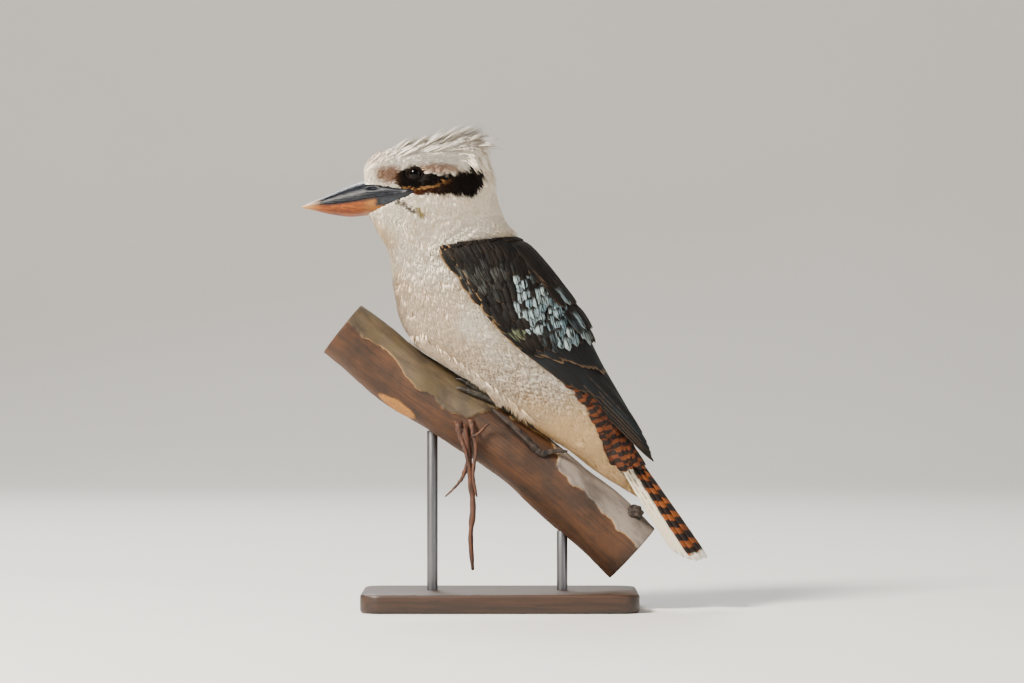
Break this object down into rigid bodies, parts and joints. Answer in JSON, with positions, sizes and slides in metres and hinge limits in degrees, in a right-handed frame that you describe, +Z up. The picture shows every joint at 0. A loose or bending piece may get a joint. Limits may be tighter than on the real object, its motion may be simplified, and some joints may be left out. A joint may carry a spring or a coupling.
{
  "type": "laughing kookaburra on a perch",
  "caption": "Life-size still laughing kookaburra sitting along a cut length of sloping branch, held by short rods on a flat display base.",
  "frame": {"origin": "centre of the underside of the stand's base", "axes": "+Z up, the bird and its bill face -X, its left side is towards -Y"},
  "size_m": [0.3006, 0.118, 0.3581],
  "materials": {
    "plumage_white": "soft off-white feathers with faint brown bars",
    "plumage_dark": "blackish-brown feathers, pale blue tips on the wing coverts",
    "plumage_tail": "rufous feathers barred black, outer ones tipped white",
    "horn_dark": "satin black horn",
    "horn_pale": "satin orange-brown horn",
    "eye": "wet dark brown",
    "foot_skin": "grey-olive scaled skin",
    "claw": "black horn",
    "bark": "smooth grey-brown gum bark over orange wood",
    "base_wood": "dark oiled wood",
    "rod_steel": "satin steel"
  },
  "bodies": {
    "root": {"head": "plumage_white", "neck": "plumage_white", "torso": "plumage_white", "bill_upper": "horn_dark", "bill_lower": "horn_pale", "eye_left": "eye", "eye_right": "eye", "wing_left": "plumage_dark", "wing_right": "plumage_dark", "tail": "plumage_tail", "leg_left": "plumage_white", "leg_right": "plumage_white", "foot_left": "foot_skin", "foot_right": "foot_skin", "claw_left_inner": "claw", "claw_left_middle": "claw", "claw_left_outer": "claw", "claw_left_hind": "claw", "claw_right_inner": "claw", "claw_right_middle": "claw", "claw_right_outer": "claw", "claw_right_hind": "claw", "perch": "bark", "perch_bark_strip": "bark", "stand_base": "base_wood", "stand_rod_1": "rod_steel", "stand_rod_2": "rod_steel"}
  },
  "joints": []
}
